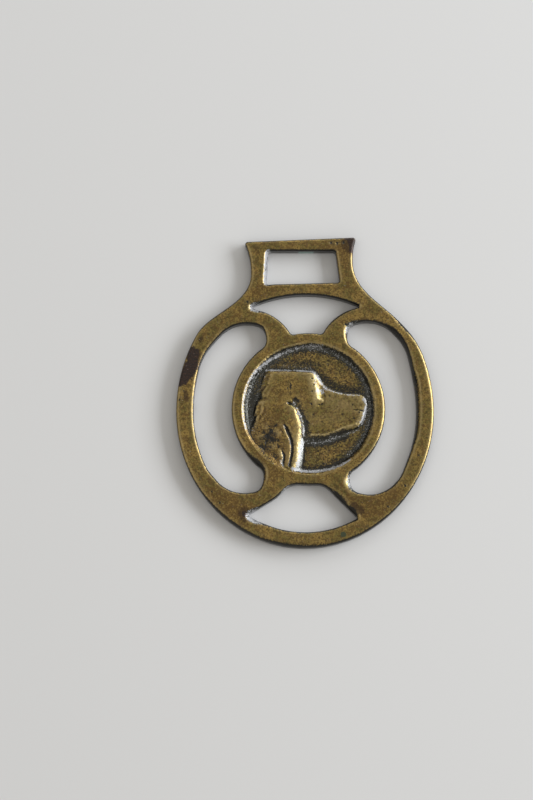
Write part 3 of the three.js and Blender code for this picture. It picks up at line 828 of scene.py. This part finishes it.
def wall_rings(outline, top):
    """The rows of points down the walls, from below the edge of the face to the flat back."""
    into = np.vstack([inward(loop) for loop in outline.loops])
    inset = WALL_INSET * (1 + grain(outline.points, *WALL_GRAIN))[:, None]
    rings = []
    for row in WALL_ROWS:
        share = row / THICKNESS
        level = top * (1 - share) + BACK_BREAK * share
        rings.append(np.column_stack([outline.points + into * inset, level]))
    rings.append(np.column_stack([outline.points, np.full(len(top), BACK_BREAK)]))
    rings.append(np.column_stack([outline.points + into * BACK_BREAK, np.zeros(len(top))]))
    return rings


def without_loose(vertices, faces):
    """The same surface without the points that no face uses."""
    used = np.unique(faces)
    renumber = np.full(len(vertices), -1)
    renumber[used] = np.arange(len(used))
    return vertices[used], renumber[faces]


def casting_mesh(outline):
    """The whole closed surface: face, walls, broken back edge and flat back."""
    loops = outline.loops
    border_count = len(outline.points)
    places, triangles, source = fill(loops, face_points(outline))
    heights = face_height(places, outline)
    vertices = [np.column_stack([places, heights])]
    faces = [triangles]
    on_border = (source >= 0) & (source < border_count)
    above = np.empty(border_count, int)
    above[source[on_border]] = np.nonzero(on_border)[0]

    starts = np.cumsum([0] + [len(loop) for loop in loops[:-1]])
    following = np.concatenate([
        np.roll(np.arange(len(loop)), -1) + start for loop, start in zip(loops, starts)
    ])
    total = len(places)
    for ring in wall_rings(outline, heights[above]):
        below = np.arange(total, total + border_count)
        vertices.append(ring)
        total += border_count
        faces.append(np.column_stack([above, below, below[following]]))
        faces.append(np.column_stack([above, below[following], above[following]]))
        above = below

    back = Outline([loop + inward(loop) * BACK_BREAK for loop in loops])
    grid = hex_grid(outline.points.min(0), outline.points.max(0), BACK_SPACING)
    grid = grid[is_in_metal(grid, back.loops)]
    grid = grid[back.distance(grid) > BACK_SPACING / 3]
    places, triangles, source = fill(back.loops, grid)
    index = np.arange(total, total + len(places))
    on_border = (source >= 0) & (source < border_count)
    index[on_border] = above[source[on_border]]
    vertices.append(np.column_stack([places, np.zeros(len(places))]))
    faces.append(index[triangles][:, ::-1])
    return without_loose(np.vstack(vertices), np.vstack(faces))


def hollowness(vertices, faces, rounds):
    """How far each vertex is below the surface around it, in millimetres."""
    sides = np.vstack([faces[:, [0, 1]], faces[:, [1, 2]], faces[:, [2, 0]]])
    shared = np.bincount(sides[:, 0], minlength=len(vertices))
    level = vertices[:, 2].copy()
    for _ in range(rounds):
        around = np.bincount(sides[:, 0], weights=level[sides[:, 1]], minlength=len(vertices))
        level = (level + around / shared) / 2
    return level - vertices[:, 2]


def surface_normals(vertices, faces):
    a, b, c = (vertices[faces[:, k]] for k in range(3))
    normals = np.zeros_like(vertices)
    across = np.cross(b - a, c - a)
    for k in range(3):
        np.add.at(normals, faces[:, k], across)
    return normals / np.linalg.norm(normals, axis=1)[:, None]


class Surface:
    """What the masks of the finish are made from, at each vertex."""

    def __init__(self, vertices, faces, outline):
        self.places = vertices[:, :2]
        self.level = vertices[:, 2]
        self.below_face = THICKNESS - self.level
        self.normals = surface_normals(vertices, faces)
        self.tilt = np.degrees(np.arccos(np.clip(self.normals[:, 2], -1, 1)))
        self.hollow = hollowness(vertices, faces, HOLLOW_ROUNDS)
        self.shares = (self.places - MEDALLION) / RECESS_RADIUS
        self.reach = np.linalg.norm(self.shares, axis=1)
        self.in_recess = ramp(self.reach, *RECESS_EDGE) * (self.level > LOWEST_RECESS)
        self.outside = (1 - self.in_recess) * (self.level > 0)
        self.at_edge = self.outside * (outline.distance(self.places) < EDGE_REACH)
        self.by_wall = ramp(self.reach, *BY_WALL)
        self.deep = ramp(self.below_face, *DEEP)
        # Painted shade along set lines of the relief and its ground
        self.painted_shade = strongest_line(self.shares, PAINTED_SHADE)
        self.left_field = oval(self.shares, *LEFT_FIELD) * self.deep


def recess_patina_and_shade(at):
    """Dark patina and painted shade in the recess: the causes, and how much each adds."""
    to_hanger = ramp(at.normals[:, Y], *FACES_HANGER)
    causes = {
        # Darker deeper down, by the wall and on the left of the field
        "depth": (0.3, at.deep),
        "wall": (0.3, ramp(at.deep, *SHALLOW_WALL) * at.by_wall),
        "hollows": (2.2, np.clip(at.hollow, 0, None)),
        # Painted shade along set lines
        "shade": (1.0, at.painted_shade),
        "left_field": (0.45, at.left_field),
        "neck": (0.36, oval(at.shares, *NECK_MIDDLE)),
        "neck_pits": (2.6, pit_depth(at.shares, NECK_PITS, NECK_PIT_STAIN)),
        "specks": (7.0, pit_depth(at.shares, SPECKS, SPECK_STAIN)),
        "folds": (2.0, fold_depth(at.shares)),
        "slopes": (0.35, ramp(at.tilt, *STEEP) * (1 - SPARED_SHARE * to_hanger)),
    }
    total = sum(weight * amount for weight, amount in causes.values())
    return at.in_recess * np.clip(total, 0, 1)


def edge_patina_and_shade(at):
    """Dark patina on the plate's edges and in its small pits, and painted shade on edges that face
    the foot and the hanger.
    """
    strength, depth = LOW_PATINA
    total = strength * at.at_edge * ramp(at.below_face, *depth)
    # Painted shade on edges that face the foot and the hanger
    for strength, turn, depth in SLOPE_SHADE:
        turned = ramp(at.normals[:, Y], *turn)
        total += strength * at.at_edge * turned * ramp(at.below_face, *depth)
    for spot, radius, _ in RING_PITS:
        total += at.outside * bell(distance_to(at.places, spot), PIT_STAIN * radius)
    return total


def wear_and_highlight(at):
    """Bright metal on ridges, on the shoulder of the edges and on polished parts: wear and painted
    highlight.
    """
    lit = 1 - UNLIT_SHARE * ramp(at.normals[:, Y], *TURNED_TO_HANGER)
    ridges = -RIDGE_WEAR_AND_SHEEN * at.in_recess * at.hollow * lit
    level_part = np.hypot(at.normals[:, X], at.normals[:, Y]) + NEVER_ZERO
    sideways = np.abs(at.normals[:, X]) / level_part
    everywhere, at_sides = SHOULDER_SIDES
    shoulder = at.at_edge * bell(at.below_face - SHOULDER_DEPTH, SHOULDER_REACH)
    shoulder *= everywhere + at_sides * sideways**2
    # Painted highlight on the rim's inner edge, on the right only
    rim = RIM_HIGHLIGHT * bell(at.reach - RIM_EDGE, RIM_EDGE_REACH)
    rim *= ramp(at.shares[:, X], *RIM_LIT_FROM)
    polish_and_highlights = np.maximum(rim, strongest_line(at.shares, POLISH_AND_HIGHLIGHTS))
    return np.clip(ridges + SHOULDER_WEAR_AND_SHEEN * shoulder + polish_and_highlights, 0, 1)


def pale_residue_and_sheen(at):
    """Pale residue and painted sheen in the recess, and painted sheen on leaning edges that face
    right.
    """
    in_recess = at.in_recess * strongest_line(at.shares, RESIDUE_AND_SHEEN)
    spots = [((spot, spot), reach, density) for spot, reach, density in EDGE_SHEEN]
    # Painted sheen only on edges that face right
    on_slope = at.at_edge * ramp(at.tilt, *EDGE_SHEEN_SLOPE) * (at.normals[:, X] > 0)
    return np.maximum(in_recess, on_slope * strongest_line(at.places, spots))


def mark(places, lines):
    """1 on a mark's lines, and 0 from half as far again as they reach."""
    strength = np.zeros(len(places))
    for path, size in lines:
        left = size - distance_to_path(places, path)
        strength = np.maximum(strength, ramp(left, -size / 2, size / 2))
    return strength


def surface_masks(at):
    """Where the finish changes: dark patina in hollows with painted shade, worn edges with painted
    highlights, pale residue with painted sheen, tarnish and other marks.
    """
    crust = at.by_wall + at.painted_shade + LEFT_CRUST * at.left_field
    masks = {
        "patina_and_shade": recess_patina_and_shade(at) + edge_patina_and_shade(at),
        "wear_and_highlight": wear_and_highlight(at),
        "crust": at.in_recess * np.clip(crust, 0, 1),
        "residue_and_sheen": pale_residue_and_sheen(at),
        "back": (at.level < BACK_BREAK / 2).astype(float),
    }
    for name, lines in MARKS.items():
        masks[name] = mark(at.places, lines)
    masks["verdigris"] *= ramp(at.level, *VERDIGRIS_FADES)
    return masks


def add_object(name, data):
    obj = bpy.data.objects.new(name, data)
    bpy.context.scene.collection.objects.link(obj)
    return obj


def make_mesh(name, vertices, faces, masks):
    mesh = bpy.data.meshes.new(name)
    mesh.from_pydata((vertices * MM).tolist(), [], faces.tolist())
    for mask, values in masks.items():
        layer = mesh.attributes.new(mask, "FLOAT", "POINT")
        layer.data.foreach_set("value", values.astype(np.float32))
    mesh.set_sharp_from_angle(angle=math.radians(SHARP_FROM))
    return mesh


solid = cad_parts[NODE]
outline = Outline([finished_loop(loop) for loop in back_loops(solid)])
vertices, faces = casting_mesh(outline)
masks = surface_masks(Surface(vertices, faces, outline))
casting = add_object("brass_casting", make_mesh("brass_casting", vertices, faces, masks))

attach(casting, "root")
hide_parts(NODE)


# Finish


class Nodes:
    """Short ways to add and link shader nodes."""

    def __init__(self, material):
        self.tree = material.node_tree
        self.shader = self.tree.nodes["Principled BSDF"]

    def link(self, source, socket):
        if isinstance(source, (int, float)):
            socket.default_value = source
        elif isinstance(source, tuple):
            socket.default_value = (*source, 1)
        else:
            self.tree.links.new(source, socket)

    def link_all(self, sources, sockets):
        for source, socket in zip(sources, sockets):
            self.link(source, socket)

    def math(self, operation, first, second=0.0, third=0.0):
        node = self.tree.nodes.new("ShaderNodeMath")
        node.operation = operation
        self.link_all((first, second, third), node.inputs)
        return node.outputs[0]

    def mask(self, name, share=1.0):
        node = self.tree.nodes.new("ShaderNodeAttribute")
        node.attribute_name = name
        return self.math("MULTIPLY", node.outputs["Fac"], share)

    def noise(self, size, detail=3.0, roughness=0.55, distortion=0.0):
        """Noise whose features are about `size` millimetres across."""
        place = self.tree.nodes.new("ShaderNodeTexCoord")
        node = self.tree.nodes.new("ShaderNodeTexNoise")
        self.link(place.outputs["Object"], node.inputs["Vector"])
        names = ("Scale", "Detail", "Roughness", "Distortion")
        sockets = [node.inputs[name] for name in names]
        self.link_all((1 / (size * MM), detail, roughness, distortion), sockets)
        return node.outputs["Fac"]

    def ramp(self, source, low, high, least=0.0, most=1.0):
        node = self.tree.nodes.new("ShaderNodeMapRange")
        node.interpolation_type = "SMOOTHSTEP"
        self.link_all((source, low, high, least, most), node.inputs)
        return node.outputs[0]

    def edge(self, mask, breakup, strength, softness=0.12):
        """A mask with its edge broken up by noise."""
        broken = self.math("MULTIPLY_ADD", breakup, strength, -strength / 2)
        return self.ramp(self.math("ADD", mask, broken), 0.5 - softness, 0.5 + softness)

    def mix(self, share, first, second, is_colour=True):
        node = self.tree.nodes.new("ShaderNodeMix")
        node.data_type = "RGBA" if is_colour else "FLOAT"
        start = 6 if is_colour else 2
        sockets = (node.inputs[0], *node.inputs[start:start + 2])
        self.link_all((share, first, second), sockets)
        return node.outputs[2 if is_colour else 0]

    def layers(self, value, layers, is_colour=True):
        """Layers over a colour or a number, each with how much of it shows."""
        for share, layer in layers:
            value = self.mix(share, value, layer, is_colour)
        return value


BRASS = (0.4, 0.27, 0.08)
BRASS_OLIVE = (0.23, 0.185, 0.055)
BRASS_BROWN = (0.15, 0.088, 0.03)
BRASS_DARK = (0.075, 0.065, 0.025)
BRASS_WORN_AND_LIT = (0.53, 0.41, 0.19)
PATINA_AND_SHADE = (0.036, 0.034, 0.03)
DUSTY_PATINA_AND_SHEEN = (0.09, 0.094, 0.078)
TARNISH = (0.018, 0.012, 0.010)
TARNISH_BROWN = (0.055, 0.028, 0.018)
BROWN = (0.06, 0.036, 0.022)
VERDIGRIS = (0.22, 0.33, 0.3)
GREEN = (0.085, 0.1, 0.06)
RESIDUE_AND_SHEEN_GREY = (0.41, 0.41, 0.425)

# Depth of the bump, in metres
BUMP_ON_METAL = 0.025 * MM
BUMP_ON_CRUST = 0.14 * MM


def bare_brass(nodes, patches, speckles):
    """Brass with olive, brown and dark mottling, and brighter where it is worn and where highlights
    are painted.
    """
    blotches = nodes.noise(5.0, detail=4.0, roughness=0.6)
    dark_patches = nodes.noise(0.9, detail=4.0, roughness=0.7)
    bright_patches = nodes.noise(0.6, detail=3.0, roughness=0.7)
    mottling = nodes.mask("mottling", share=0.07)
    patchy = nodes.math("ADD", patches, mottling)
    speckly = nodes.math("ADD", speckles, mottling)
    unpolished = nodes.ramp(patches, 0.3, 0.6, least=0.4)
    return nodes.layers(BRASS, (
        (nodes.ramp(blotches, 0.42, 0.57), BRASS_OLIVE),
        (nodes.ramp(dark_patches, 0.43, 0.62, most=0.9), BRASS_DARK),
        (nodes.ramp(patchy, 0.47, 0.63, most=0.8), BRASS_BROWN),
        (nodes.ramp(speckly, 0.45, 0.64, most=0.95), BRASS_BROWN),
        (nodes.ramp(bright_patches, 0.5, 0.66, most=0.6), BRASS),
        # Worn brass and painted highlights
        (nodes.mask("wear_and_highlight", unpolished), BRASS_WORN_AND_LIT),
    ))


def patina_and_shade_share(nodes, speckles):
    """Dark patina and painted shade from their mask, thinner on the flat back, with a speckled
    edge.
    """
    everywhere = nodes.math("ADD", nodes.mask("patina_and_shade"), nodes.mask("back", share=0.35))
    uneven = nodes.math("MULTIPLY_ADD", speckles, 1.8, -1.8 / 2)
    return nodes.ramp(nodes.math("ADD", everywhere, uneven), 0.12, 0.85)


def residue_and_sheen_share(nodes, patches):
    """Pale residue and painted sheen from their mask, in flecks."""
    patchy = nodes.mask("residue_and_sheen", nodes.ramp(patches, 0.32, 0.55, least=0.6, most=1.1))
    flecks = nodes.math("MULTIPLY_ADD", nodes.noise(0.34, detail=2.0, roughness=0.6), 2.5, -2.5 / 2)
    return nodes.ramp(nodes.math("ADD", patchy, flecks), 0.42, 0.85)


def aged_brass():
    material = bpy.data.materials.new("aged_brass")
    material.use_nodes = True
    nodes = Nodes(material)
    shader = nodes.shader
    patches = nodes.noise(1.6, detail=4.0, roughness=0.65, distortion=0.4)
    speckles = nodes.noise(0.45, detail=3.0, roughness=0.6)
    grains = nodes.noise(0.16, detail=2.0, roughness=0.5)
    ragged = nodes.math("MULTIPLY_ADD", patches, 0.6, nodes.math("MULTIPLY", speckles, 0.4))

    patina_and_shade = patina_and_shade_share(nodes, speckles)
    residue_and_sheen = residue_and_sheen_share(nodes, patches)
    brown = nodes.edge(nodes.mask("brown"), ragged, strength=2.0, softness=0.35)
    tarnish = nodes.edge(nodes.mask("tarnish"), ragged, strength=2.2, softness=0.2)
    green = nodes.edge(nodes.mask("green"), speckles, strength=0.8)
    verdigris = nodes.edge(nodes.mask("verdigris"), speckles, strength=1.0)
    # Residue and painted sheen also grey the patina
    dust_and_sheen = nodes.mask("residue_and_sheen", share=1.1)
    colour = nodes.layers(bare_brass(nodes, patches, speckles), (
        (nodes.math("MULTIPLY", brown, 0.7), BROWN),
        # The patina colour also paints shade
        (patina_and_shade, nodes.mix(dust_and_sheen, PATINA_AND_SHADE, DUSTY_PATINA_AND_SHEEN)),
        (tarnish, nodes.mix(nodes.ramp(speckles, 0.4, 0.65), TARNISH, TARNISH_BROWN)),
        (green, GREEN),
        (verdigris, VERDIGRIS),
        # Pale grey residue and painted sheen
        (residue_and_sheen, RESIDUE_AND_SHEEN_GREY),
    ))
    nodes.link(colour, shader.inputs["Base Color"])

    dull_residue_and_sheen = nodes.math("MULTIPLY", residue_and_sheen, 0.6)
    dull_tarnish = nodes.math("MULTIPLY", tarnish, 0.4)
    dull = nodes.math("MAXIMUM", nodes.math("MAXIMUM", dull_residue_and_sheen, dull_tarnish), verdigris)
    nodes.link(nodes.math("SUBTRACT", 1.0, dull), shader.inputs["Metallic"])
    rough = nodes.layers(
        nodes.ramp(patches, 0.3, 0.75, least=0.34, most=0.48),
        ((patina_and_shade, 0.3), (residue_and_sheen, 0.5), (verdigris, 0.7)),
        is_colour=False,
    )
    nodes.link(rough, shader.inputs["Roughness"])
    shader.inputs["Coat Weight"].default_value = 0.25
    shader.inputs["Coat Roughness"].default_value = 0.28

    bump = nodes.tree.nodes.new("ShaderNodeBump")
    bump.inputs["Strength"].default_value = 1.0
    depth = nodes.mix(nodes.mask("crust"), BUMP_ON_METAL, BUMP_ON_CRUST, is_colour=False)
    nodes.link(depth, bump.inputs["Distance"])
    fine = nodes.math("MULTIPLY_ADD", grains, 0.4, nodes.math("MULTIPLY", speckles, 0.6))
    nodes.link(fine, bump.inputs["Height"])
    nodes.link(bump.outputs["Normal"], shader.inputs["Normal"])
    return material


casting.data.materials.append(aged_brass())


# Floor


FLOOR_REACH = 2.0
FLOOR_GREY = (0.66, 0.655, 0.655)


def make_floor():
    mesh = bpy.data.meshes.new("floor")
    sides = ((-1, -1), (1, -1), (1, 1), (-1, 1))
    corners = [(x * FLOOR_REACH, y * FLOOR_REACH, 0) for x, y in sides]
    mesh.from_pydata(corners, [], [(0, 1, 2, 3)])
    material = bpy.data.materials.new("pale_floor")
    material.use_nodes = True
    shader = material.node_tree.nodes["Principled BSDF"]
    shader.inputs["Base Color"].default_value = (*FLOOR_GREY, 1)
    shader.inputs["Roughness"].default_value = 0.8
    mesh.materials.append(material)
    floor = add_object("floor", mesh)


make_floor()


# Light: a broad soft window on the right, and a pale room. Each light shines on the brass.
ROOM_COLOUR = (1.0, 0.965, 0.89)
ROOM_STRENGTH = 0.46


def area_light(name, at, size, power, tint):
    data = bpy.data.lights.new(name, "AREA")
    data.shape = "RECTANGLE"
    data.size, data.size_y = size
    data.energy = power
    data.color = tint
    light = add_object(name, data)
    light.location = at
    light.rotation_euler = (-Vector(at)).to_track_quat("-Z", "Y").to_euler()


area_light("window", (1.45, 0.3, 0.66), size=(1.4, 0.6), power=31.0, tint=(0.93, 0.965, 1.0))
area_light("far_window", (0.5, 1.5, 0.75), size=(1.4, 0.7), power=8.0, tint=(0.93, 0.97, 1.0))
area_light("pale_wall", (-0.75, -0.1, 1.35), size=(0.8, 1.0), power=1.2, tint=(1.0, 1.0, 1.0))

world = bpy.data.worlds.new("room")
world.use_nodes = True
background = world.node_tree.nodes["Background"]
background.inputs["Color"].default_value = (*ROOM_COLOUR, 1)
background.inputs["Strength"].default_value = ROOM_STRENGTH
bpy.context.scene.world = world
bpy.context.scene.view_settings.view_transform = "Standard"


# Camera: 9 degrees off straight down, from the foot of the brass. The anchor is a point of the
# back, and the place where the camera sees it, in the camera's own frame.
CAMERA_TILT = 9.0
CAMERA_LENS = 83.25
ANCHOR = Vector((0.04, -3.63, 0.0))
ANCHOR_SEEN = Vector((10.81, -1.40, -519.7))


def make_camera():
    data = bpy.data.cameras.new("camera")
    data.lens = CAMERA_LENS
    data.sensor_width = 36.0
    data.clip_start = 0.01
    camera = add_object("camera", data)
    turn = Euler((math.radians(CAMERA_TILT), 0, 0))
    seen = ANCHOR_SEEN.copy()
    seen.rotate(turn)
    camera.location = (ANCHOR - seen) * MM
    camera.rotation_euler = turn
    bpy.context.scene.camera = camera


make_camera()
